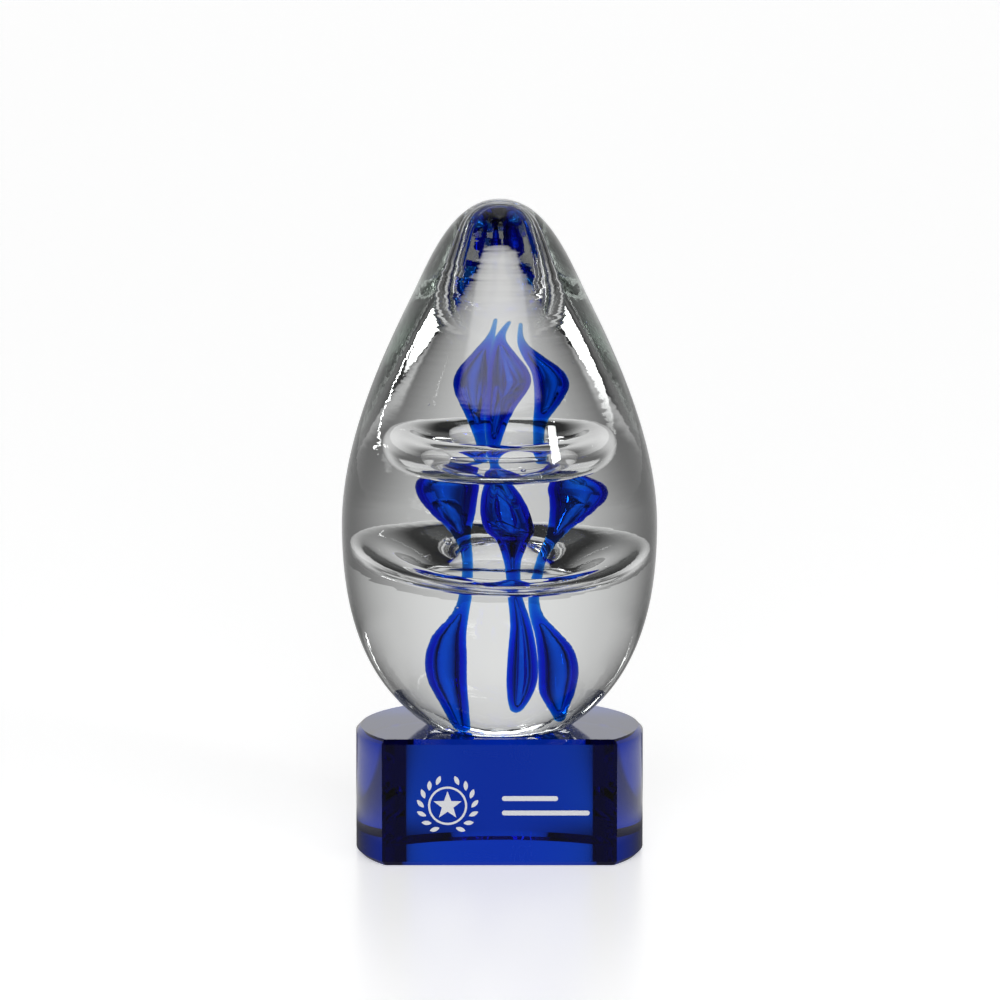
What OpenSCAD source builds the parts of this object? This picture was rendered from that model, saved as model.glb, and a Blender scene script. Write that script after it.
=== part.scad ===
// Crystal award: a solid clear glass egg on a cobalt crystal block.
// Three blue strands with air-filled lobes rise inside the egg and pass
// through two rings of trapped air. Millimetres, +Z up, front towards -Y.
// The origin is on the egg's axis, on the surface that the block stands on.

/* [Base block] */
// Radius of the block's round back and sides
base_r = 41.4; // [34:0.1:50]
// Height of the block
base_h = 36.6; // [30:0.1:44]
// Distance of the flat front face from the egg's axis
front_face = 24.8; // [21:0.1:29]
// Bevel along the top and bottom edges
edge_bevel = 1.3; // [1:0.1:2]
// Length that each corner bevel takes off the end of the front face
corner_cut = 0.65; // [0.5:0.05:1]

/* [Glass egg] */
// Height of the egg from its ground foot to its tip
egg_h = 152; // [126:0.1:183]
// Widest radius of the egg
egg_r = 45.3; // [37.5:0.1:55]
// Height of the widest part above the foot
belly_h = 58; // [48:0.1:70]
// Radius of the flat ground foot
foot_r = 20.5; // [17:0.1:22]
// Radius at the shoulder, where the long taper turns into the dome
shoulder_r = 25.2; // [21:0.1:30]
// Height of the dome above the shoulder
dome_h = 28; // [23:0.1:34]
// Thickness of the clear adhesive under the foot
bond_t = 0.2; // [0.15:0.05:0.4]

/* [Inner gather] */
// Height of the inner gather above the foot
core_h = 120; // [108:0.1:124]
// Radius of the inner gather where it meets the ground foot
core_foot_r = 16; // [14:0.1:17]
// Radius of the inner gather at the lower air ring
core_belly_r = 25; // [21:0.1:30]
// Radius of the inner gather at the upper air ring
core_shoulder_r = 19; // [16:0.1:23]

/* [Air rings] */
// Height of the lower ring's middle above the foot
lower_ring_h = 50.2; // [42:0.1:60]
// Height of the upper ring's middle above the foot
upper_ring_h = 77.2; // [72:0.1:92]
// Height of the trapped air in each ring, at the back
ring_t = 10.6; // [9:0.1:12.7]
// Share of that height which the lower ring keeps at the front
front_share = 0.33; // [0.25:0.01:0.4]
// Angle at which the lower ring rises outwards, like a dish
dish_angle = 14; // [10:0.5:18]
// Radius of the glass neck inside each ring
neck_r = 14; // [11.7:0.1:15]
// How far the trapped air stands out past the inner gather
ring_bulge = 3.5; // [2.9:0.1:4.2]

/* [Blue strands] */
// Radius of a strand where it is drawn thin
thread_r = 1; // [0.8:0.05:1.2]
// Largest radius of the lobes below the lower ring
foot_lobe_r = 3.6; // [3:0.1:4.3]
// Largest radius of the lobes between the rings
mid_lobe_r = 5.5; // [4.6:0.1:6.6]
// Largest radius of the lobes above the upper ring
top_lobe_r = 3.5; // [2.9:0.1:3.8]
// Thickness of the blue glass round each lobe's air bubble
lobe_wall = 1.2; // [1:0.05:1.4]
// Least clear glass between a strand and the surface of the inner gather
strand_cover = 0.7; // [0.5:0.05:1]
// Height of the strands' lower ends above the foot
strand_lift = 12; // [10:0.1:14]
// Clear glass between the strands' upper ends and the top of the inner gather
strand_drop = 5; // [4:0.1:6]

/* [Etched front] */
// Radius of the round emblem
emblem_r = 9.6; // [8:0.1:11.5]
// Distance of the emblem's centre from the middle of the front face
emblem_x = 14.8; // [12:0.1:17]
// Height of the emblem's centre above the bottom
emblem_z = 17.6; // [15:0.1:20]
// Depth of the etching and of the silver that fills it
etch_depth = 0.2; // [0.15:0.05:0.3]
// Length of the upper rule
rule_upper = 16; // [13:0.1:19]
// Length of the lower rule
rule_lower = 25; // [21:0.1:26]
// Width of each rule
rule_w = 1.4; // [1.1:0.1:1.8]
// Distance between the two rules' centre lines
rule_pitch = 4.2; // [3.5:0.1:5]

/* [Hidden] */
ROUND = 128;        // segments of a full turn
STEPS = 16;         // segments of one curve of an outline
SIDES = 12;         // sides of a strand
SUB = 3;            // rings of a strand between two of its points

cobalt = [0.03, 0.14, 0.62];
silver = [0.85, 0.86, 0.88];
clear_glass = [0.82, 0.9, 0.88, 0.35];
strand_blue = [0.02, 0.12, 0.8];

foot_z = base_h + bond_t;
tip_z = foot_z + egg_h;
shoulder_z = tip_z - dome_h;
belly_z = foot_z + belly_h;
lower_ring_z = foot_z + lower_ring_h;
upper_ring_z = foot_z + upper_ring_h;
core_top_z = foot_z + core_h;

// Points of a cubic curve from a to d, pulled towards b and c.
function curve(a, b, c, d) = [for (i = [0 : STEPS]) let (t = i / STEPS, s = 1 - t)
    s * s * s * a + 3 * s * s * t * b + 3 * s * t * t * c + t * t * t * d];

// A list of curves joined into one outline, without the doubled ends.
function joined(parts) = [for (k = [0 : len(parts) - 1]) for (i = [(k == 0 ? 0 : 1) : STEPS]) parts[k][i]];

// ---- Egg ----
// The foot flares at foot_angle, the taper meets the dome at taper_angle, and
// each pull is the length of a curve's handle.
foot_angle = 33;
foot_pull = 22.3;
belly_pull = 25;
taper_angle = 64;
taper_pull = 16.7;
dome_pull = 11.7;
tip_pull = 13.6;

function egg_outline() = let (
    taper = [-cos(taper_angle), sin(taper_angle)],
    flare = [cos(foot_angle), sin(foot_angle)],
    foot = [foot_r, foot_z], belly = [egg_r, belly_z],
    shoulder = [shoulder_r, shoulder_z], tip = [0, tip_z])
    joined([
        curve(foot, foot + foot_pull * flare, belly - [0, belly_pull], belly),
        curve(belly, belly + [0, belly_pull], shoulder - taper_pull * taper, shoulder),
        curve(shoulder, shoulder + dome_pull * taper, tip + [tip_pull, 0], tip)]);

module egg_section() polygon(concat([[0, foot_z]], egg_outline()));

// ---- Inner gather, up to the surface that the outer gather covers ----
core_lower_points = [[core_foot_r, foot_z], [core_foot_r + 6, foot_z + 10],
    [core_belly_r, lower_ring_z - 16], [core_belly_r, lower_ring_z]];
core_middle_points = let (rise = (upper_ring_z - lower_ring_z) / 3)
    [[core_belly_r, lower_ring_z], [core_belly_r, lower_ring_z + rise],
    [core_shoulder_r + 0.7, upper_ring_z - rise], [core_shoulder_r, upper_ring_z]];
core_upper_points = [[core_shoulder_r, upper_ring_z], [core_shoulder_r - 0.6, upper_ring_z + 15],
    [0.85 * core_shoulder_r, core_top_z], [0, core_top_z]];

function core_outline() = joined([for (p = [core_lower_points, core_middle_points, core_upper_points])
    curve(p[0], p[1], p[2], p[3])]);

module core_section() polygon(concat([[0, foot_z]], core_outline()));

// Radius of the inner gather at height z.
function core_r_at(z) = let (outline = core_outline(),
    zs = [for (p = outline) p[1]], rs = [for (p = outline) p[0]])
    lookup(z, [for (i = [0 : len(zs) - 1]) [zs[i], rs[i]]]);

// ---- Air rings ----
// The upper ring's section is an oval from the neck out past the inner gather.
module upper_ring_section() {
    outer = core_shoulder_r + ring_bulge;
    half = (outer - neck_r) / 2;
    polygon([for (a = [0 : 10 : 350])
        [outer - half + half * cos(a), upper_ring_z + ring_t / 2 * sin(a)]]);
}

// The lower ring is a leaning dish, thickest at the back. Its oval section is
// fuller at the rim than at the neck, and flattens towards the front.
lower_lean = [3.5, 2, 0];
rim_fullness = 0.25;
dish_z = lower_ring_z - 0.24 * ring_t;
AROUND = 48;        // sections of the lower ring
OVAL = 24;          // points of one section

function dish_point(turn, a) = let (
    outer = core_belly_r + ring_bulge,
    half = (outer - neck_r) / 2,
    height = ring_t * (1 + front_share) / 2,
    along = half * cos(a),
    up = height / 2 * sin(a) * (1 + rim_fullness * cos(a)),
    r = outer - half + along * cos(dish_angle) - up * sin(dish_angle),
    rise = height / 2 + along * sin(dish_angle) + up * cos(dish_angle),
    flatten = 1 + (1 - front_share) / (1 + front_share) * r * sin(turn) / outer)
    [r * cos(turn), r * sin(turn), rise * flatten - height / 2];

module lower_ring() {
    points = [for (k = [0 : AROUND - 1]) for (i = [0 : OVAL - 1])
        dish_point(360 * k / AROUND, 360 * i / OVAL)];
    faces = [for (k = [0 : AROUND - 1]) for (i = [0 : OVAL - 1]) let (
        b = k * OVAL, c = (k + 1) % AROUND * OVAL, n = (i + 1) % OVAL)
        each [[b + i, b + n, c + i], [c + i, b + n, c + n]]];
    translate([0, 0, dish_z]) rotate(lower_lean) polyhedron(points, faces);
}

// ---- Blue strands ----
// A strand's height is counted in five stages, one for each stretch between
// the ends of the strand and the edges of the rings.
stage_z = [foot_z + strand_lift, lower_ring_z - ring_t / 2, lower_ring_z + ring_t / 2,
    upper_ring_z - ring_t / 2, upper_ring_z + ring_t / 2, core_top_z - strand_drop];
stage_lobe = [foot_lobe_r, foot_lobe_r, mid_lobe_r, mid_lobe_r, top_lobe_r];

// Stage number of a height, where the last stage takes in the upper end.
function stage_of(h) = min(floor(h), 4);
function height_z(h) = let (k = stage_of(h)) stage_z[k] + (h - k) * (stage_z[k + 1] - stage_z[k]);
// A stage that runs through a ring has only the neck's room.
function room_at(h) = (stage_of(h) % 2 == 1 ? neck_r : core_r_at(height_z(h))) - strand_cover;

// A strand's point is [height, direction, reach, swell]. The direction is in
// degrees from +X, reach 1 brings the strand out to the surface, swell 0 is
// the thin thread and swell 1 is the stage's full lobe.
function strand_point(p) = let (h = p[0],
    r = thread_r + p[3] * (stage_lobe[stage_of(h)] - thread_r),
    out = p[2] * (room_at(h) - r))
    [out * cos(p[1]), out * sin(p[1]), height_z(h), r, h];

// The value at share t between b and c of a smooth line through a, b, c and d.
function smooth(a, b, c, d, t) = b + 0.5 * t * (c - a
    + t * (2 * a - 5 * b + 4 * c - d + t * (3 * b - 3 * c + d - a)));

// All the rings of a strand, [x, y, z, radius, height].
function strand_rings(points) = let (p = [for (q = points) strand_point(q)], last = len(p) - 1)
    concat([for (i = [0 : last - 1]) for (j = [0 : SUB - 1])
        smooth(p[max(i - 1, 0)], p[i], p[i + 1], p[min(i + 2, last)], j / SUB)], [p[last]]);

// A closed skin over a stack of level rings, with a point at each end.
module skin(rings, shrink = 0) {
    count = len(rings);
    low = rings[0];
    high = rings[count - 1];
    tips = [[low[0], low[1], low[2] - 0.6 * (low[3] - shrink)],
        [high[0], high[1], high[2] + 0.6 * (high[3] - shrink)]];
    sides = [for (k = rings) for (s = [0 : SIDES - 1]) let (a = 360 * s / SIDES, r = k[3] - shrink)
        [k[0] + r * cos(a), k[1] + r * sin(a), k[2]]];
    lowest = count * SIDES;
    faces = concat(
        [for (s = [0 : SIDES - 1]) [lowest, s, (s + 1) % SIDES]],
        [for (k = [0 : count - 2]) for (s = [0 : SIDES - 1]) let (n = (s + 1) % SIDES, b = k * SIDES)
            each [[b + s, b + SIDES + s, b + n], [b + n, b + SIDES + s, b + SIDES + n]]],
        [for (s = [0 : SIDES - 1]) let (b = (count - 1) * SIDES) [lowest + 1, b + (s + 1) % SIDES, b + s]]);
    polyhedron(concat(sides, tips), faces);
}

// The rings of one lobe's bubble are those that leave a full wall round it.
least_bore = 0.35;
function bubble_rings(rings, stages) = [for (k = rings)
    if (k[4] >= stages[0] && k[4] < stages[1] && k[3] > lobe_wall + least_bore) k];
lobe_stages = [[0, 1.4], [1.6, 3.3], [3.6, 5]];

module strand(points) {
    rings = strand_rings(points);
    color(strand_blue) difference() {
        skin(rings);
        for (stages = lobe_stages) skin(bubble_rings(rings, stages), lobe_wall);
    }
}

left_points = [
    [0.02, 142, 0.45, 0.05], [0.13, 142, 0.52, 0.55], [0.3, 142, 0.61, 0.93], [0.45, 142, 0.61, 1],
    [0.6, 142, 0.54, 0.75], [0.75, 141, 0.4, 0.25], [0.9, 140, 0.34, 0.06],
    [1.5, 141, 0.59, 0], [2.05, 141, 0.4, 0.18], [2.3, 142, 0.55, 0.64], [2.55, 143, 0.71, 0.96],
    [2.75, 143, 0.78, 1.03], [2.88, 142, 0.68, 0.65], [3.08, 135, 0.54, 0.05], [3.5, 123, 0.44, 0.04],
    [4.1, 130, 0.41, 0.4], [4.3, 128, 0.55, 1], [4.45, 126, 0.57, 1],
    [4.62, 120, 0.48, 0.4], [4.8, 106, 0.4, -0.08], [4.95, 101, 0.38, -0.2]];
centre_points = [
    [0.04, 293, 0.49, 0.1], [0.13, 294, 0.57, 0.6], [0.28, 296, 0.6, 0.92], [0.48, 296, 0.56, 0.82],
    [0.7, 296, 0.47, 0.5], [0.9, 292, 0.38, 0.24], [1.15, 292, 0.63, 0.22], [1.6, 291, 0.63, 0.35],
    [2.05, 286, 0.5, 0.55], [2.2, 281, 0.66, 0.92], [2.4, 277, 0.75, 1], [2.62, 274, 0.72, 0.88],
    [2.85, 270, 0.6, 0.58], [3.08, 264, 0.67, 0.12], [3.5, 260, 0.59, 0.02], [4.05, 263, 0.5, 0.45],
    [4.25, 271, 0.6, 0.9], [4.46, 281, 0.9, 1.5], [4.58, 281, 0.85, 1.4], [4.72, 276, 0.6, 0.7],
    [4.85, 271, 0.45, 0.05], [4.98, 298, 0.45, -0.15]];
right_points = [
    [0.02, 25, 0.63, 0], [0.1, 26, 0.62, 0.3], [0.22, 28, 0.63, 0.85], [0.36, 28, 0.63, 1],
    [0.5, 28, 0.57, 0.88], [0.62, 28, 0.45, 0.5], [0.75, 28, 0.33, 0.1], [0.9, 27, 0.3, 0],
    [1.2, 24, 0.62, 0], [1.6, 21, 0.68, 0], [2.05, 21, 0.5, 0.18], [2.3, 22, 0.72, 0.62],
    [2.52, 22, 0.94, 0.95], [2.7, 21, 0.98, 0.97], [2.86, 21, 0.82, 0.55], [3.06, 22, 0.7, 0.05],
    [3.5, 23, 0.63, 0], [4.05, 25, 0.49, 0.15], [4.2, 25, 0.64, 0.58], [4.35, 25, 0.77, 0.93],
    [4.48, 27, 0.73, 0.78], [4.62, 30, 0.53, 0.38], [4.76, 32, 0.37, -0.05], [4.92, 33, 0.43, -0.2]];

// ---- Etched front ----
rule_left = 0.7;

// A leaf between two arcs, pointing along +X, with its stem at the origin.
module leaf(length, width) {
    r = (length * length / 4 + width * width / 4) / width;
    translate([length / 2, 0]) intersection_for (side = [-1, 1])
        translate([0, side * (r - width / 2)]) circle(r, $fn = 96);
}

module star(outer, inner) polygon([for (i = [0 : 9]) let (r = i % 2 == 0 ? outer : inner)
    r * [sin(36 * i), cos(36 * i)]]);

// An open wreath of leaves round a ring with a five-pointed star in it.
module emblem_outline() {
    ring_r = 0.58 * emblem_r;
    line_w = 0.6;
    difference() {
        circle(ring_r, $fn = 96);
        circle(ring_r - line_w, $fn = 96);
    }
    star(0.44 * emblem_r, 0.18 * emblem_r);
    leaf_r = 0.71 * emblem_r;
    for (side = [-1, 1]) for (i = [0 : 6]) let (turn = -70 + 22 * i)
        mirror([side < 0 ? 1 : 0, 0]) rotate(turn) translate([leaf_r, 0]) rotate(52)
            leaf(0.3 * emblem_r, 0.13 * emblem_r);
}

module rule(length) hull() for (x = [rule_w / 2, length - rule_w / 2])
    translate([x, 0]) circle(rule_w / 2, $fn = 32);

module inscription_outline() {
    translate([rule_left, rule_pitch / 2]) rule(rule_upper);
    translate([rule_left, -rule_pitch / 2]) rule(rule_lower);
}

// Stands an outline upright in the front face, as deep as the etching.
module etched() translate([0, etch_depth - front_face, emblem_z]) rotate([90, 0, 0])
    linear_extrude(etch_depth) children();

module emblem_etch() etched() translate([-emblem_x, 0]) emblem_outline();
module inscription_etch() etched() inscription_outline();

// ---- Pieces ----
// The ground and polished block: a round bar cut flat in front, with a bevel
// along each edge and down each front corner.
module base_block() {
    half_w = sqrt(base_r * base_r - front_face * front_face) - corner_cut;
    // The corner bevel lies halfway between the front face and the round side.
    bevel_angle = (90 - asin(front_face / base_r)) / 2;
    reach = 2 * base_r;
    bevel_end = [half_w + reach * cos(bevel_angle), reach * sin(bevel_angle) - front_face];
    color(cobalt) difference() {
        intersection() {
            rotate_extrude($fn = ROUND) polygon([[0, 0], [base_r - edge_bevel, 0], [base_r, edge_bevel],
                [base_r, base_h - edge_bevel], [base_r - edge_bevel, base_h], [0, base_h]]);
            translate([-base_r - 1, 0, 0]) rotate([90, 0, 90]) linear_extrude(2 * base_r + 2)
                polygon([[-front_face, edge_bevel], [edge_bevel - front_face, 0],
                    [base_r + 1, 0], [base_r + 1, base_h],
                    [edge_bevel - front_face, base_h], [-front_face, base_h - edge_bevel]]);
            linear_extrude(base_h) polygon([[-half_w, -front_face], [half_w, -front_face], bevel_end,
                [reach, reach], [-reach, reach], [-bevel_end[0], bevel_end[1]]]);
        }
        emblem_etch();
        inscription_etch();
    }
}

module bond_film() color(silver, 0.4) translate([0, 0, base_h])
    cylinder(h = bond_t, r = foot_r - 0.5, $fn = ROUND);

// The first gather, drawn in at two grooves that trap the air rings.
module glass_core() color(clear_glass) difference() {
    rotate_extrude($fn = ROUND) difference() {
        core_section();
        upper_ring_section();
    }
    lower_ring();
    for (points = [left_points, centre_points, right_points]) skin(strand_rings(points));
}

// The second gather, which covers the first and closes the air rings.
module glass_casing() color(clear_glass) difference() {
    rotate_extrude($fn = ROUND) difference() {
        egg_section();
        core_section();
        upper_ring_section();
    }
    lower_ring();
}

module left_strand() strand(left_points);
module centre_strand() strand(centre_points);
module right_strand() strand(right_points);
module emblem_inlay() color(silver) emblem_etch();
module inscription_inlay() color(silver) inscription_etch();

base_block();
bond_film();
glass_core();
glass_casing();
left_strand();
centre_strand();
right_strand();
emblem_inlay();
inscription_inlay();
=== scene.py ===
import math

import bpy
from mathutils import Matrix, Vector


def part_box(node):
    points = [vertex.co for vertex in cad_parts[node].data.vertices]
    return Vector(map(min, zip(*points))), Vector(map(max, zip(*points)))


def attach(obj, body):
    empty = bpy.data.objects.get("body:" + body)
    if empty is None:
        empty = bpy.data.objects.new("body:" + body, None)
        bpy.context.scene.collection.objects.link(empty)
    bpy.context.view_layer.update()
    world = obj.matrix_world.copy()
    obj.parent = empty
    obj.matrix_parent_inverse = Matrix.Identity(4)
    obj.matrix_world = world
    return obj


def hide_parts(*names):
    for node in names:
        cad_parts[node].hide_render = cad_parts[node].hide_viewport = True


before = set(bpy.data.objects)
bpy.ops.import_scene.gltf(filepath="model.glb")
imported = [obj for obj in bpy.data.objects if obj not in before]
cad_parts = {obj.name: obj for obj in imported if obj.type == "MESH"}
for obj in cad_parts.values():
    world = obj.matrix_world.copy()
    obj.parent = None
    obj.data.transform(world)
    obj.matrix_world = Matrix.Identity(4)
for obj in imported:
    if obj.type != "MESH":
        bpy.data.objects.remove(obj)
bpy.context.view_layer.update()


# ---- Studio ----
# A white lacquered table in a plain room. A bright wall behind and a softbox high
# in front give the glass what it shows, with a card behind the award that is only
# painted glow on the table. The rest of the room is dim, and draws the dark edges.
MM = 0.001


def hex_colour(code):
    """An sRGB hex colour as linear red, green, blue and alpha."""
    shares = [int(code[k : k + 2], 16) / 255 for k in (0, 2, 4)]
    return (*[s / 12.92 if s <= 0.04045 else ((s + 0.055) / 1.055) ** 2.4 for s in shares], 1)


def add_node(tree, kind, inputs=None, **settings):
    """Adds a node, sets its settings, and gives each named input its value or its link."""
    made = tree.nodes.new(kind)
    for name, value in settings.items():
        setattr(made, name, value)
    for key, value in (inputs or {}).items():
        if isinstance(value, bpy.types.NodeSocket):
            tree.links.new(value, made.inputs[key])
        else:
            made.inputs[key].default_value = value
    return made


def empty_material(name):
    """A new material with no nodes in it."""
    material = bpy.data.materials.new(name)
    material.use_nodes = True
    material.node_tree.nodes.clear()
    return material


def soft_edged(tree, brightness, edges):
    """A brightness that fades out across edges: what is measured, where it is dark, where it is full."""
    for measured, dark_at, full_at in edges:
        share = add_node(tree, "ShaderNodeMapRange", {
            "Value": measured, "From Min": dark_at, "From Max": full_at}, interpolation_type="SMOOTHSTEP")
        brightness = add_node(tree, "ShaderNodeMath", {0: brightness, 1: share.outputs["Result"]},
                              operation="MULTIPLY").outputs[0]
    return brightness


def face_towards(thing, target):
    """Turns a camera or a light to look at a point."""
    thing.rotation_euler = (target - thing.location).to_track_quat("-Z", "Y").to_euler()


scene = bpy.context.scene
scene.view_settings.view_transform = "Standard"
scene.cycles.use_denoising = True
glass_bounces = 48      # light mirrored round the inside of the egg needs many before it leaves
scene.cycles.max_bounces = glass_bounces
scene.cycles.glossy_bounces = glass_bounces
scene.cycles.transmission_bounces = glass_bounces
scene.cycles.transparent_max_bounces = 16

# The room by direction: Z is upwards, and towards_back goes from -1 in front to 1 behind.
wall_strength, wall_falloff = 0.73, 2.0
softbox_strength = 2.6
dim_room_low, dim_room_high = 0.07, 0.02
studio = bpy.data.worlds.new("studio_light")
scene.world = studio
studio.use_nodes = True
tree = studio.node_tree
tree.nodes.clear()
way = add_node(tree, "ShaderNodeSeparateXYZ", {
    0: add_node(tree, "ShaderNodeTexCoord").outputs["Generated"]})
upwards = way.outputs["Z"]
flat_way = add_node(tree, "ShaderNodeCombineXYZ", {"X": way.outputs["X"], "Y": way.outputs["Y"]})
flat_way = add_node(tree, "ShaderNodeVectorMath", {0: flat_way.outputs[0]}, operation="NORMALIZE")
towards_back = add_node(tree, "ShaderNodeSeparateXYZ", {0: flat_way.outputs[0]}).outputs["Y"]
behind = add_node(tree, "ShaderNodeMath", {0: towards_back, 1: 0.0}, operation="MAXIMUM")
wall = add_node(tree, "ShaderNodeMath", {0: behind.outputs[0], 1: wall_falloff}, operation="POWER")
softbox = soft_edged(tree, softbox_strength, ((upwards, 0.51, 0.55), (upwards, 0.83, 0.78),
                                              (towards_back, -0.72, -0.8)))
lit_from_afar = add_node(tree, "ShaderNodeMath", {0: wall.outputs[0], 1: wall_strength, 2: softbox},
                         operation="MULTIPLY_ADD")
dim_room = add_node(tree, "ShaderNodeMath", {0: soft_edged(tree, dim_room_low, ((upwards, 0.5, 0.2),)),
                    1: dim_room_high}, operation="ADD")
room_light = add_node(tree, "ShaderNodeMath", {0: lit_from_afar.outputs[0], 1: dim_room.outputs[0]},
                      operation="ADD")
seen_directly = add_node(tree, "ShaderNodeLightPath").outputs["Is Camera Ray"]
brightness = add_node(tree, "ShaderNodeMix", {0: seen_directly, 2: room_light.outputs[0], 3: 1.0},
                      data_type="FLOAT")
light = add_node(tree, "ShaderNodeBackground", {
    "Color": hex_colour("ffffff"), "Strength": brightness.outputs[0]})
add_node(tree, "ShaderNodeOutputWorld", {"Surface": light.outputs[0]})

# The table is a hair lower than the block, which would flicker if level with it.
bpy.ops.object.select_all(action="DESELECT")
bpy.ops.mesh.primitive_plane_add(size=40.0, location=(0, 0, -0.05 * MM))
table = bpy.context.object
table.name = "table"

# White lacquer with a soft shine and an even added glow, so it is nearly as white as the room.
# Every ray but the camera's sees only painted light in its place: a painted pool of light that
# falls off away from the wall, a painted card from 60 to 230 mm behind, and a painted shade level.
painted_card_strength = 0.5
painted_pool_strength, painted_table_shade = 0.52, 0.13
table_white = empty_material("white_lacquered_table_with_painted_glow")
tree = table_white.node_tree
lacquer = add_node(tree, "ShaderNodeBsdfPrincipled", {
    "Base Color": hex_colour("f4f4f4"), "Roughness": 0.28, "IOR": 1.5,
    "Emission Color": hex_colour("ffffff"), "Emission Strength": 0.44})
place = add_node(tree, "ShaderNodeTexCoord").outputs["Object"]
depth = add_node(tree, "ShaderNodeSeparateXYZ", {0: place}).outputs["Y"]
reach = add_node(tree, "ShaderNodeVectorMath", {0: place}, operation="LENGTH").outputs["Value"]
behind = add_node(tree, "ShaderNodeMath", {0: depth, 1: 0.0}, operation="MAXIMUM")
rearwards = add_node(tree, "ShaderNodeMath", {0: behind.outputs[0], 1: reach}, operation="DIVIDE").outputs[0]
# The card is painted: a patch of glow on the table, not an object.
painted_card = soft_edged(tree, painted_card_strength, ((rearwards, 0.86, 0.82), (depth, -0.05, 0.0),
                                        (reach, 0.23, 0.17), (reach, 0.06, 0.09)))
# The pool of light is painted: glow brightest straight behind, falling off to the sides and away.
falloff = add_node(tree, "ShaderNodeMapRange", {
    "Value": reach, "From Min": 0.15, "From Max": 0.45, "To Min": 14.0, "To Max": 5.0})
painted_pool = add_node(tree, "ShaderNodeMath", {0: rearwards, 1: falloff.outputs["Result"]}, operation="POWER")
painted_pool = add_node(tree, "ShaderNodeMath", {0: painted_pool.outputs[0], 1: painted_pool_strength, 2: painted_table_shade},
                operation="MULTIPLY_ADD")
painted_table_glow = add_node(tree, "ShaderNodeMath", {0: painted_card, 1: painted_pool.outputs[0]}, operation="ADD")
painted_table_light = add_node(tree, "ShaderNodeEmission", {"Color": hex_colour("ffffff"), "Strength": painted_table_glow.outputs[0]})
# The camera sees the lacquer; every other ray sees only the painted glow.
seen_directly = add_node(tree, "ShaderNodeLightPath").outputs["Is Camera Ray"]
both = add_node(tree, "ShaderNodeMixShader", {0: seen_directly, 1: painted_table_light.outputs[0], 2: lacquer.outputs[0]})
add_node(tree, "ShaderNodeOutputMaterial", {"Surface": both.outputs[0]})
table.data.materials.append(table_white)

camera_distance, camera_height_angle = 1.8, math.radians(8.75)
look_at = Vector((0, 0, 0.102))
bpy.ops.object.camera_add()
camera = bpy.context.object
camera.name = "camera"
camera.location = look_at + camera_distance * Vector((0, -math.cos(camera_height_angle),
                                                      math.sin(camera_height_angle)))
face_towards(camera, look_at)
camera.data.lens = 225.8
camera.data.sensor_width = 36
camera.data.clip_start = 0.01
camera.data.shift_x = 0.0005
scene.camera = camera

# A window to the right in front gives the upper ring its tall highlight.
bpy.ops.object.light_add(type="AREA", location=(0.86, -0.84, 0.60))
strip = bpy.context.object
strip.name = "window_strip"
strip.data.shape = "RECTANGLE"
strip.data.size, strip.data.size_y = 0.15, 0.20
strip.data.energy = 2.2
face_towards(strip, Vector((0, 0, 0.12)))

# The front fill lights the silver and the table, and no glass mirrors it.
bpy.ops.object.light_add(type="AREA", location=(0, -1.6, 0.4))
fill = bpy.context.object
fill.name = "front_fill"
fill.data.size = 0.6
fill.data.energy = 13
fill.visible_glossy = fill.visible_transmission = False
face_towards(fill, Vector((0, 0, 0.05)))


# ---- Base block ----
# A round bar of cobalt-blue optical crystal, cut flat in front and ground and
# polished on every face, with a narrow bevel along each edge.


def edit(piece):
    """Opens a piece for shaping, with nothing selected."""
    bpy.ops.object.select_all(action="DESELECT")
    piece.select_set(True)
    bpy.context.view_layer.objects.active = piece
    bpy.ops.object.mode_set(mode="EDIT")
    bpy.ops.mesh.select_all(action="DESELECT")


def place_in_mesh(piece):
    """Moves a piece's place, turn and size into its mesh."""
    bpy.ops.object.mode_set(mode="OBJECT")
    bpy.ops.object.select_all(action="DESELECT")
    piece.select_set(True)
    bpy.context.view_layer.objects.active = piece
    bpy.ops.object.transform_apply(location=True, rotation=True, scale=True)


def smooth_up_to(piece, degrees):
    """Smooth shading, except across edges sharper than an angle."""
    place_in_mesh(piece)
    bpy.ops.object.shade_smooth_by_angle(angle=math.radians(degrees))


block_low, block_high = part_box("base_block")
block_radius, block_height = block_high.x, block_high.z
block_front = block_low.y + 0.02 * MM   # a hair behind the silver, which would flicker if level with it
block_bevel, corner_bevel = 1.3 * MM, 0.65 * MM
block_sides = 192
bpy.ops.object.select_all(action="DESELECT")
bpy.ops.mesh.primitive_cylinder_add(vertices=block_sides, radius=block_radius, depth=block_height,
                                    location=(0, 0, block_height / 2))
plinth = bpy.context.object
plinth.name = "crystal_plinth"
place_in_mesh(plinth)
edit(plinth)
bpy.ops.mesh.select_all(action="SELECT")
bpy.ops.mesh.bisect(plane_co=(0, block_front, 0), plane_no=(0, 1, 0), clear_inner=True, use_fill=True)

# The two upright corners of the flat are bevelled first, then every other edge.
bpy.ops.mesh.select_all(action="DESELECT")
bpy.ops.mesh.select_mode(type="EDGE")
bpy.ops.object.mode_set(mode="OBJECT")
for edge in plinth.data.edges:
    ends = [plinth.data.vertices[k].co for k in edge.vertices]
    upright = abs(ends[0].z - ends[1].z) > 0.5 * block_height
    edge.select = upright and max(end.y for end in ends) < block_front + 0.01 * MM
bpy.ops.object.mode_set(mode="EDIT")
bpy.ops.mesh.bevel(offset=corner_bevel, segments=1, affect="EDGES")
bpy.ops.mesh.select_all(action="DESELECT")
bpy.ops.mesh.edges_select_sharp(sharpness=math.radians(40))
bpy.ops.mesh.bevel(offset=block_bevel, segments=1, affect="EDGES")
smooth_up_to(plinth, 20)

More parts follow.
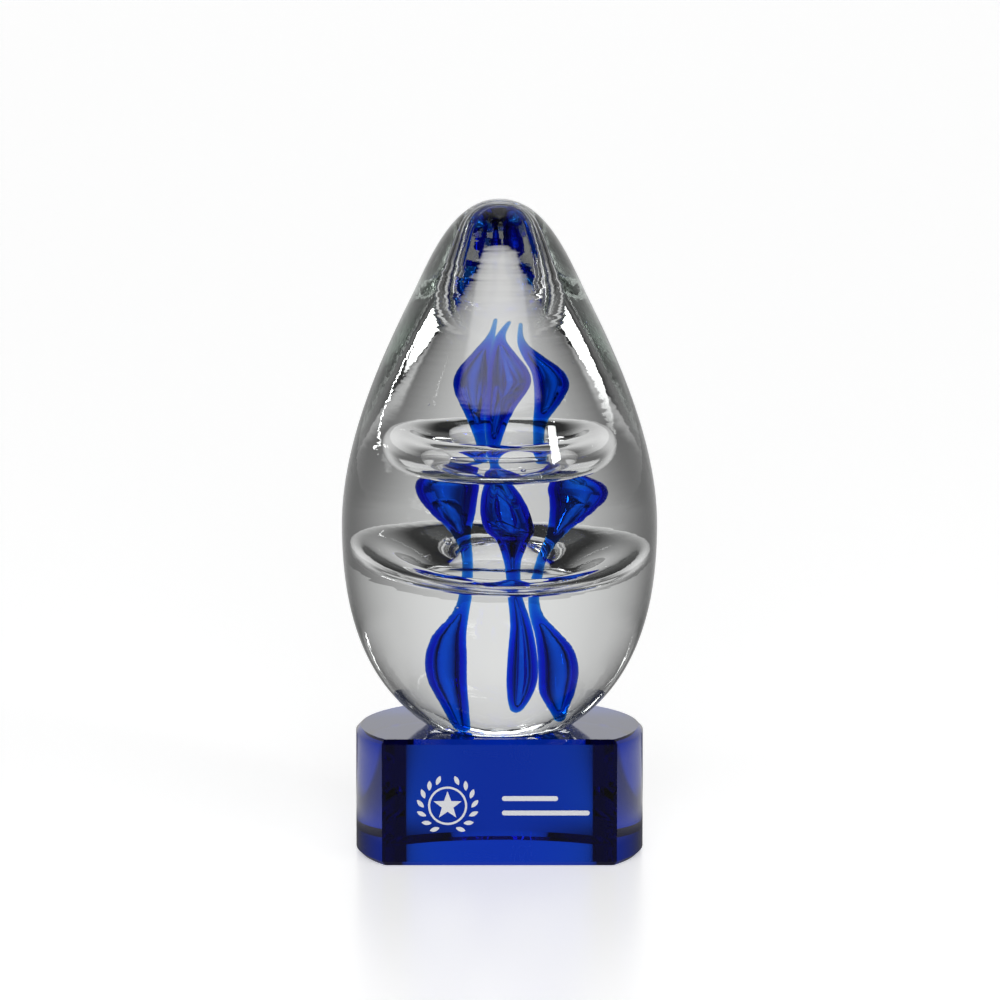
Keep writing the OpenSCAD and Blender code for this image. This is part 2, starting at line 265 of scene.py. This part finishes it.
# Optical crystal coloured through with cobalt: deep blue where light has a long
# way to go, near black where it meets a face too flatly to leave again. The
# polishing wheel left waves a hundredth of a millimetre deep, so the colours
# seen through a face drift a little instead of meeting in ruled lines.
polish_wave, polish_depth = 16.6667 * MM, 0.01 * MM
cobalt_crystal = empty_material("cobalt_optical_crystal")
tree = cobalt_crystal.node_tree
place = add_node(tree, "ShaderNodeTexCoord").outputs["Object"]
lap = add_node(tree, "ShaderNodeTexNoise", {"Vector": place, "Scale": 1 / polish_wave, "Detail": 1.0})
waves = add_node(tree, "ShaderNodeBump", {
    "Height": lap.outputs["Fac"], "Strength": 1.0, "Distance": polish_depth})
polished = add_node(tree, "ShaderNodeBsdfGlass", {
    "Color": hex_colour("ffffff"), "Roughness": 0.0, "IOR": 1.52, "Normal": waves.outputs[0]})
cobalt = add_node(tree, "ShaderNodeVolumeAbsorption", {"Color": hex_colour("00bcf3"), "Density": 100.0})
add_node(tree, "ShaderNodeOutputMaterial", {"Surface": polished.outputs[0], "Volume": cobalt.outputs[0]})
plinth.data.materials.append(cobalt_crystal)
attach(plinth, "root")
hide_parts("base_block")


# ---- Silver in the etching ----
# The emblem and the two rules are sandblasted a fifth of a millimetre deep and
# filled with silver paint, which dries a little grainy.
grain_size, grain_depth = 0.4 * MM, 0.05 * MM
silver_paint = empty_material("silver_paint_fill")
tree = silver_paint.node_tree
place = add_node(tree, "ShaderNodeTexCoord").outputs["Object"]
flakes = add_node(tree, "ShaderNodeTexNoise", {"Vector": place, "Scale": 1 / grain_size, "Detail": 3.0})
tint = add_node(tree, "ShaderNodeMix", {
    0: flakes.outputs["Fac"], 6: hex_colour("dcdee4"), 7: hex_colour("f8f9fc")}, data_type="RGBA")
grain = add_node(tree, "ShaderNodeBump", {
    "Height": flakes.outputs["Fac"], "Strength": 0.25, "Distance": grain_depth})
paint = add_node(tree, "ShaderNodeBsdfPrincipled", {
    "Base Color": tint.outputs[2], "Metallic": 0.1, "Roughness": 0.45, "Normal": grain.outputs[0]})
add_node(tree, "ShaderNodeOutputMaterial", {"Surface": paint.outputs[0]})
for inlay in ("emblem_inlay", "inscription_inlay"):
    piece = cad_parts[inlay]
    piece.data.materials.clear()
    piece.data.materials.append(silver_paint)


# ---- Clear adhesive ----
# A film of clear ultraviolet-cured glue under the ground foot. It fills the
# grinding marks, so the foot shows the block's blue. Pressing the foot down left
# slow swirls in it, 5 to 6 mm across.
swirl_size, swirl_depth = 5.5556 * MM, 0.2 * MM
film_clear = empty_material("clear_cured_adhesive")
tree = film_clear.node_tree
place = add_node(tree, "ShaderNodeTexCoord").outputs["Object"]
swirl = add_node(tree, "ShaderNodeTexNoise", {"Vector": place, "Scale": 1 / swirl_size, "Detail": 2.0})
waves = add_node(tree, "ShaderNodeBump", {
    "Height": swirl.outputs["Fac"], "Strength": 0.3, "Distance": swirl_depth})
glue = add_node(tree, "ShaderNodeBsdfGlass", {
    "Color": hex_colour("fbfdff"), "Roughness": 0.02, "IOR": 1.48, "Normal": waves.outputs[0]})
add_node(tree, "ShaderNodeOutputMaterial", {"Surface": glue.outputs[0]})
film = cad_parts["bond_film"]
film.data.materials.clear()
film.data.materials.append(film_clear)


# ---- Glass egg ----
# Solid clear soda-lime glass, gathered in two layers and shaped in a wet wooden
# block, so its skin is fire-polished and very slightly wavy. Two grooves pressed
# into the first gather were closed by the second, and hold rings of air.


def curve(a, b, c, d, steps=28):
    """Points of a cubic curve from a to d, pulled towards b and c."""
    points = []
    for t in [k / steps for k in range(steps + 1)]:
        pulls = ((1 - t) ** 3, 3 * (1 - t) ** 2 * t, 3 * (1 - t) * t ** 2, t ** 3)
        points.append(tuple(sum(pull * point[i] for pull, point in zip(pulls, (a, b, c, d))) for i in (0, 1)))
    return points


def beside(point, angle, distance):
    """The point at an angle and a distance from another, in the plane of the outline."""
    turned = math.radians(angle)
    return (point[0] + distance * math.cos(turned), point[1] + distance * math.sin(turned))


def start_point(name, point):
    """A new mesh of one selected vertex, open for shaping."""
    bpy.ops.object.select_all(action="DESELECT")
    bpy.ops.mesh.primitive_plane_add(size=MM, location=(0, 0, 0))
    piece = bpy.context.object
    piece.name = name
    bpy.ops.object.mode_set(mode="EDIT")
    bpy.ops.mesh.select_mode(type="VERT")
    bpy.ops.mesh.select_all(action="SELECT")
    bpy.ops.mesh.merge(type="CENTER")
    bpy.ops.transform.translate(value=point)
    return piece


def spun(name, outline, steps, closed=False):
    """A solid of revolution from an outline of (radius, height) in millimetres."""
    points = [Vector((r * MM, 0, z * MM)) for r, z in outline]
    piece = start_point(name, points[0])
    for before, after in zip(points, points[1:]):
        bpy.ops.mesh.extrude_region_move(TRANSFORM_OT_translate={"value": after - before})
    bpy.ops.mesh.select_all(action="SELECT")
    if closed:
        bpy.ops.mesh.edge_face_add()
        bpy.ops.mesh.delete(type="ONLY_FACE")
        bpy.ops.mesh.select_all(action="SELECT")
    bpy.ops.mesh.spin(steps=steps, angle=2 * math.pi, axis=(0, 0, 1), center=(0, 0, 0))
    bpy.ops.mesh.select_all(action="SELECT")
    bpy.ops.mesh.remove_doubles(threshold=0.002 * MM)
    bpy.ops.mesh.normals_make_consistent(inside=False)
    bpy.ops.object.mode_set(mode="OBJECT")
    return piece


# The outline in millimetres: up from the ground foot, round the belly, along the
# tapering shoulder and over the dome.
glass_low, glass_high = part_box("glass_casing")
foot_z, tip_z = glass_low.z / MM + 0.02, glass_high.z / MM   # the foot stands a hair clear of the glue
foot = (20.5, foot_z)
belly = (glass_high.x / MM, foot_z + 58)
shoulder = (25.2, tip_z - 28)
foot_flare, shoulder_slope = 33, 116
belly_pull = 25
egg_sides, ring_sides = 192, 160
egg_outline = [(0, foot_z)]
egg_outline += curve(foot, beside(foot, foot_flare, 22.3), beside(belly, -90, belly_pull), belly)
egg_outline += curve(belly, beside(belly, 90, belly_pull),
                     beside(shoulder, shoulder_slope, -16.7), shoulder)[1:]
egg_outline += curve(shoulder, beside(shoulder, shoulder_slope, 11.7), (13.6, tip_z), (0, tip_z))[1:]
egg = spun("glass_egg", egg_outline, egg_sides)

# The upper ring of trapped air: an oval tube of air round a neck of glass.
neck_radius, ring_height = 14, 10.6
section_angles = range(0, 360, 8)
upper_ring_z, upper_ring_radius = 114, 22.5
half_width = (upper_ring_radius - neck_radius) / 2
upper_ring = spun("upper_air_ring", [
    (upper_ring_radius - half_width + half_width * math.cos(math.radians(a)),
     upper_ring_z + ring_height / 2 * math.sin(math.radians(a))) for a in section_angles],
    ring_sides, closed=True)

# The lower ring is a leaning dish: fuller at its rim than at its neck, and
# flattened towards the front, where the outer gather has pressed it down.
lower_ring_radius, dish_z, dish_angle = 28.5, 84.5, math.radians(14)
front_share, rim_fullness = 0.33, 0.25
dish_height = ring_height * (1 + front_share) / 2
half_width = (lower_ring_radius - neck_radius) / 2
dish_section = []
for a in section_angles:
    along = half_width * math.cos(math.radians(a))
    up = dish_height / 2 * math.sin(math.radians(a)) * (1 + rim_fullness * math.cos(math.radians(a)))
    dish_section.append((
        lower_ring_radius - half_width + along * math.cos(dish_angle) - up * math.sin(dish_angle),
        dish_height / 2 + along * math.sin(dish_angle) + up * math.cos(dish_angle)))
lower_ring = spun("lower_air_ring", dish_section, ring_sides, closed=True)
for point in lower_ring.data.vertices:
    flatten = 1 + (1 - front_share) / (1 + front_share) * point.co.y / (lower_ring_radius * MM)
    point.co.z = point.co.z * flatten - dish_height / 2 * MM
lower_ring.rotation_euler = (math.radians(3.5), math.radians(2), 0)
lower_ring.location.z = dish_z * MM
place_in_mesh(lower_ring)

# Seeds are stray bubbles the size of a pinhead, a little taller than wide. Each
# is listed: x, y, z and radius in millimetres.
seed_spots = (
    (6.2, -14.5, 110.5, 0.75), (-8.4, 12.0, 90.5, 0.75), (9.5, -13.0, 97.5, 0.22),
    (-15.0, -6.0, 128.0, 0.2), (12.5, 9.0, 136.0, 0.25), (-9.0, -12.0, 76.0, 0.2))
seeds = []
for x, y, z, radius in seed_spots:
    bpy.ops.object.select_all(action="DESELECT")
    bpy.ops.mesh.primitive_ico_sphere_add(subdivisions=3, radius=radius * MM,
                                          location=(x * MM, y * MM, z * MM))
    seed = bpy.context.object
    seed.scale.z = 1.12
    place_in_mesh(seed)
    seeds.append(seed)

# Air inside the glass is bounded by faces that look into the air.
for air in (upper_ring, lower_ring, *seeds):
    edit(air)
    bpy.ops.mesh.select_all(action="SELECT")
    bpy.ops.mesh.flip_normals()
    bpy.ops.object.mode_set(mode="OBJECT")
bpy.ops.object.select_all(action="DESELECT")
for part in (egg, upper_ring, lower_ring, *seeds):
    part.select_set(True)
bpy.context.view_layer.objects.active = egg
bpy.ops.object.join()
smooth_up_to(egg, 40)

# Clear glass with a faint green from its iron. Turning it in the wet block left
# level ripples, about 9 mm long, 2 mm apart and a few hundredths of a millimetre
# deep, which make the edges of every bright band seen in the skin ragged.
ripple_length, ripple_depth = 9.0909 * MM, 0.023 * MM
ripples_closer = 4.5      # how many times closer they lie, one above another, than they are long
clear_glass = empty_material("fire_polished_clear_glass")
tree = clear_glass.node_tree
place = add_node(tree, "ShaderNodeTexCoord").outputs["Object"]
levelled = add_node(tree, "ShaderNodeMapping", {"Vector": place, "Scale": (1.0, 1.0, ripples_closer)})
ripple = add_node(tree, "ShaderNodeTexNoise", {
    "Vector": levelled.outputs[0], "Scale": 1 / ripple_length, "Detail": 1.5})
skin = add_node(tree, "ShaderNodeBump", {
    "Height": ripple.outputs["Fac"], "Strength": 1.0, "Distance": ripple_depth})
body = add_node(tree, "ShaderNodeBsdfGlass", {
    "Color": hex_colour("ffffff"), "Roughness": 0.0, "IOR": 1.52, "Normal": skin.outputs[0]})
iron = add_node(tree, "ShaderNodeVolumeAbsorption", {"Color": hex_colour("cfd8d2"), "Density": 2.2})
add_node(tree, "ShaderNodeOutputMaterial", {"Surface": body.outputs[0], "Volume": iron.outputs[0]})
egg.data.materials.clear()
egg.data.materials.append(clear_glass)
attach(egg, "root")
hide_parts("glass_core", "glass_casing")


# ---- Blue strands ----
# Three canes of blue glass drawn through the inner gather. They swell into
# lobes blown hollow, and thin to a thread where they pass through the rings.


def eased(a, b, c, d, t):
    """The value at share t between b and c of a smooth line through four values."""
    return b + 0.5 * t * (c - a + t * (2 * a - 5 * b + 4 * c - d + t * (3 * b - 3 * c + d - a)))


def drawn_rings(points, between=4):
    """Rings (x, y, z, radius) of a strand, with some added between its own points."""
    last = len(points) - 1
    rings = []
    for k in range(last):
        near = [points[min(max(k + j, 0), last)] for j in (-1, 0, 1, 2)]
        rings += [tuple(eased(*[p[i] for p in near], j / between) for i in range(4))
                  for j in range(between)]
    return rings + [points[last]]


def pulled_skin(name, rings):
    """A closed skin over level rings, drawn out from the lowest one upwards."""
    tip_share = 0.6      # of the end ring's radius, by which each end is drawn to a tip
    x, y, z, radius = rings[0]
    bpy.ops.object.select_all(action="DESELECT")
    bpy.ops.mesh.primitive_circle_add(vertices=24, radius=radius * MM, location=(x * MM, y * MM, z * MM),
                                      fill_type="TRIFAN")
    piece = bpy.context.object
    piece.name = name
    place_in_mesh(piece)
    for point in piece.data.vertices:      # the middle one is drawn down to a tip
        if (point.co.xy - Vector((x, y)) * MM).length < 0.1 * radius * MM:
            point.co.z -= tip_share * radius * MM
    edit(piece)
    bpy.ops.mesh.select_mode(type="EDGE")
    bpy.ops.mesh.select_all(action="SELECT")
    bpy.ops.mesh.region_to_loop()
    for before, after in zip(rings, rings[1:]):
        step = Vector([(after[i] - before[i]) * MM for i in range(3)])
        bpy.ops.mesh.extrude_edges_move(TRANSFORM_OT_translate={"value": step})
        bpy.ops.transform.resize(value=(after[3] / before[3], after[3] / before[3], 1),
                                 center_override=[after[i] * MM for i in range(3)])
    bpy.ops.mesh.extrude_edges_move(TRANSFORM_OT_translate={"value": (0, 0, tip_share * rings[-1][3] * MM)})
    bpy.ops.mesh.merge(type="CENTER")
    bpy.ops.mesh.select_all(action="SELECT")
    bpy.ops.mesh.normals_make_consistent(inside=False)
    bpy.ops.object.mode_set(mode="OBJECT")
    bpy.ops.object.select_all(action="DESELECT")
    piece.select_set(True)
    bpy.context.view_layer.objects.active = piece
    rounding = piece.modifiers.new("rounding", "SUBSURF")
    rounding.levels = rounding.render_levels = 1
    bpy.ops.object.modifier_apply(modifier=rounding.name)
    bpy.ops.object.shade_smooth()
    return piece


# Each strand's rings, listed from the lowest up: x, y, z and radius in millimetres.
strands = {
    "left_strand": [
        (-6.5, 5.2, 47.6, 1.5), (-7.6, 5.9, 53.1, 2.39), (-8.9, 6.9, 58.7, 3.41),
        (-9.1, 7.1, 63.6, 3.60), (-8.6, 6.8, 68.5, 2.93), (-6.9, 5.6, 73.5, 1.58),
        (-6.0, 5.0, 78.4, 1.16), (-5.7, 4.6, 87.0, 1.00), (-6.8, 5.5, 93.1, 1.73),
        (-8.1, 6.3, 97.2, 3.84), (-9.1, 6.8, 101.3, 5.32), (-9.1, 6.9, 104.6, 5.64),
        (-8.5, 6.6, 106.7, 3.89), (-4.6, 4.6, 109.5, 1.23), (-2.9, 4.5, 114.0, 1.18),
        (-4.2, 5.0, 122.5, 1.94), (-4.6, 5.9, 129.0, 3.50), (-4.3, 5.9, 133.9, 3.50),
        (-3.1, 5.5, 139.5, 1.94), (-1.4, 4.8, 145.3, 0.69), (-0.7, 3.8, 150.2, 0.38)],
    "centre_strand": [
        (3.6, -8.6, 50.1, 1.27), (4.2, -9.5, 53.1, 2.52), (4.8, -9.9, 58.0, 3.38),
        (4.8, -9.9, 64.6, 3.11), (4.4, -9.0, 71.8, 2.25), (3.2, -7.9, 78.4, 1.55),
        (2.8, -6.9, 83.3, 1.49), (2.6, -6.7, 88.1, 1.84), (2.8, -9.7, 93.1, 3.43),
        (2.3, -11.6, 95.6, 5.13), (1.5, -12.3, 98.9, 5.50), (0.8, -11.5, 102.5, 4.95),
        (0.0, -9.7, 106.2, 3.57), (-0.8, -7.9, 109.5, 1.45), (-1.3, -7.2, 114.0, 1.09),
        (-1.0, -7.9, 120.9, 2.07), (0.1, -8.4, 127.4, 3.24), (2.0, -10.1, 134.2, 4.80),
        (1.8, -9.1, 138.2, 4.54), (0.7, -6.8, 142.7, 2.72), (0.1, -5.1, 146.9, 1.13),
        (2.0, -3.7, 151.2, 0.51)],
    "right_strand": [
        (10.9, 5.1, 49.5, 1.00), (10.5, 5.1, 52.1, 1.71), (10.1, 5.4, 56.0, 3.19),
        (10.3, 5.5, 60.6, 3.60), (9.8, 5.2, 65.2, 3.28), (8.4, 4.4, 69.2, 2.25),
        (6.6, 3.5, 73.5, 1.27), (6.2, 3.2, 78.4, 1.00), (7.0, 3.1, 83.8, 1.00),
        (7.9, 3.0, 88.1, 1.00), (10.2, 3.9, 93.1, 1.73), (12.6, 5.1, 97.2, 3.75),
        (14.1, 5.7, 100.8, 5.27), (13.9, 5.3, 103.8, 5.36), (12.5, 4.8, 106.4, 3.43),
        (7.9, 3.2, 109.3, 1.23), (7.2, 3.1, 114.0, 1.00), (7.4, 3.4, 120.9, 1.29),
        (8.7, 4.1, 125.8, 2.41), (9.5, 4.4, 130.7, 3.32), (8.6, 4.4, 134.9, 2.93),
        (6.0, 3.5, 139.5, 1.89), (4.0, 2.5, 144.0, 0.77), (3.9, 2.5, 149.2, 0.38)],
}
least_bore = 0.35        # radius of the smallest ring of air in a lobe
lobe_wall = 1.2          # blue glass round the air in each lobe
air_gap = 0.03           # between the blue skin of a bubble and its mirror-bright inside
lobe_heights = ((45, 84), (84, 112), (112, 155))

# Blue glass fused into clear glass: hardly any gloss where the two meet, and a
# blue that deepens with the length of glass the light passes. Drawing the cane
# leaves cords along it, a millimetre wide, which show as faint darker streaks.
cord_width, cord_stretch = 1.1111 * MM, 5
blue_glass = empty_material("cobalt_blue_cane_glass")
tree = blue_glass.node_tree
place = add_node(tree, "ShaderNodeTexCoord").outputs["Object"]
drawn = add_node(tree, "ShaderNodeMapping", {"Vector": place, "Scale": (1.0, 1.0, 1 / cord_stretch)})
cords = add_node(tree, "ShaderNodeTexNoise", {
    "Vector": drawn.outputs[0], "Scale": 1 / cord_width, "Detail": 2.0})
streak = add_node(tree, "ShaderNodeMix", {
    0: cords.outputs["Fac"], 6: hex_colour("e6ecfa"), 7: hex_colour("ffffff")}, data_type="RGBA")
fused = add_node(tree, "ShaderNodeBsdfGlass", {"Color": streak.outputs[2], "Roughness": 0.0, "IOR": 1.03})
blue = add_node(tree, "ShaderNodeVolumeAbsorption", {"Color": hex_colour("00d0fa"), "Density": 2600.0})
add_node(tree, "ShaderNodeOutputMaterial", {"Surface": fused.outputs[0], "Volume": blue.outputs[0]})

# The air in a lobe: seen from the glass it mirrors at flat angles, which gives
# the black line and the bright core. The blown skin is dimpled every 3 mm or so,
# a few hundredths of a millimetre deep, which breaks up what it mirrors.
dimple_size, dimple_depth = 2.8571 * MM, 0.05 * MM
air_ior = 0.667          # of air as seen from inside the glass
bubble_air = empty_material("air_in_glass")
tree = bubble_air.node_tree
place = add_node(tree, "ShaderNodeTexCoord").outputs["Object"]
dimples = add_node(tree, "ShaderNodeTexNoise", {"Vector": place, "Scale": 1 / dimple_size, "Detail": 2.0})
blown = add_node(tree, "ShaderNodeBump", {
    "Height": dimples.outputs["Fac"], "Strength": 1.0, "Distance": dimple_depth})
inside = add_node(tree, "ShaderNodeBsdfGlass", {
    "Color": hex_colour("ffffff"), "Roughness": 0.0, "IOR": air_ior, "Normal": blown.outputs[0]})
add_node(tree, "ShaderNodeOutputMaterial", {"Surface": inside.outputs[0]})

# Each bubble has two skins: the blue glass ends at the outer one, whose faces
# look into the bubble, and the air starts at the inner one.
for strand_name, points in strands.items():
    rings = drawn_rings(points)
    strand = pulled_skin(strand_name + "_glass", rings)
    strand.data.materials.append(blue_glass)
    strand.data.materials.append(bubble_air)
    linings = []
    for low, high in lobe_heights:
        for thickness in (lobe_wall, lobe_wall + air_gap):
            hollow = [(x, y, z, r - thickness) for x, y, z, r in rings
                      if low <= z < high and r > lobe_wall + least_bore]
            lining = pulled_skin("lining", hollow)
            lining.data.materials.append(blue_glass)
            lining.data.materials.append(bubble_air)
            if thickness == lobe_wall:
                edit(lining)
                bpy.ops.mesh.select_all(action="SELECT")
                bpy.ops.mesh.flip_normals()
                bpy.ops.object.mode_set(mode="OBJECT")
            else:
                for face in lining.data.polygons:
                    face.material_index = 1
            linings.append(lining)
    bpy.ops.object.select_all(action="DESELECT")
    for part in (strand, *linings):
        part.select_set(True)
    bpy.context.view_layer.objects.active = strand
    bpy.ops.object.join()
    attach(strand, "root")
    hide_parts(strand_name)
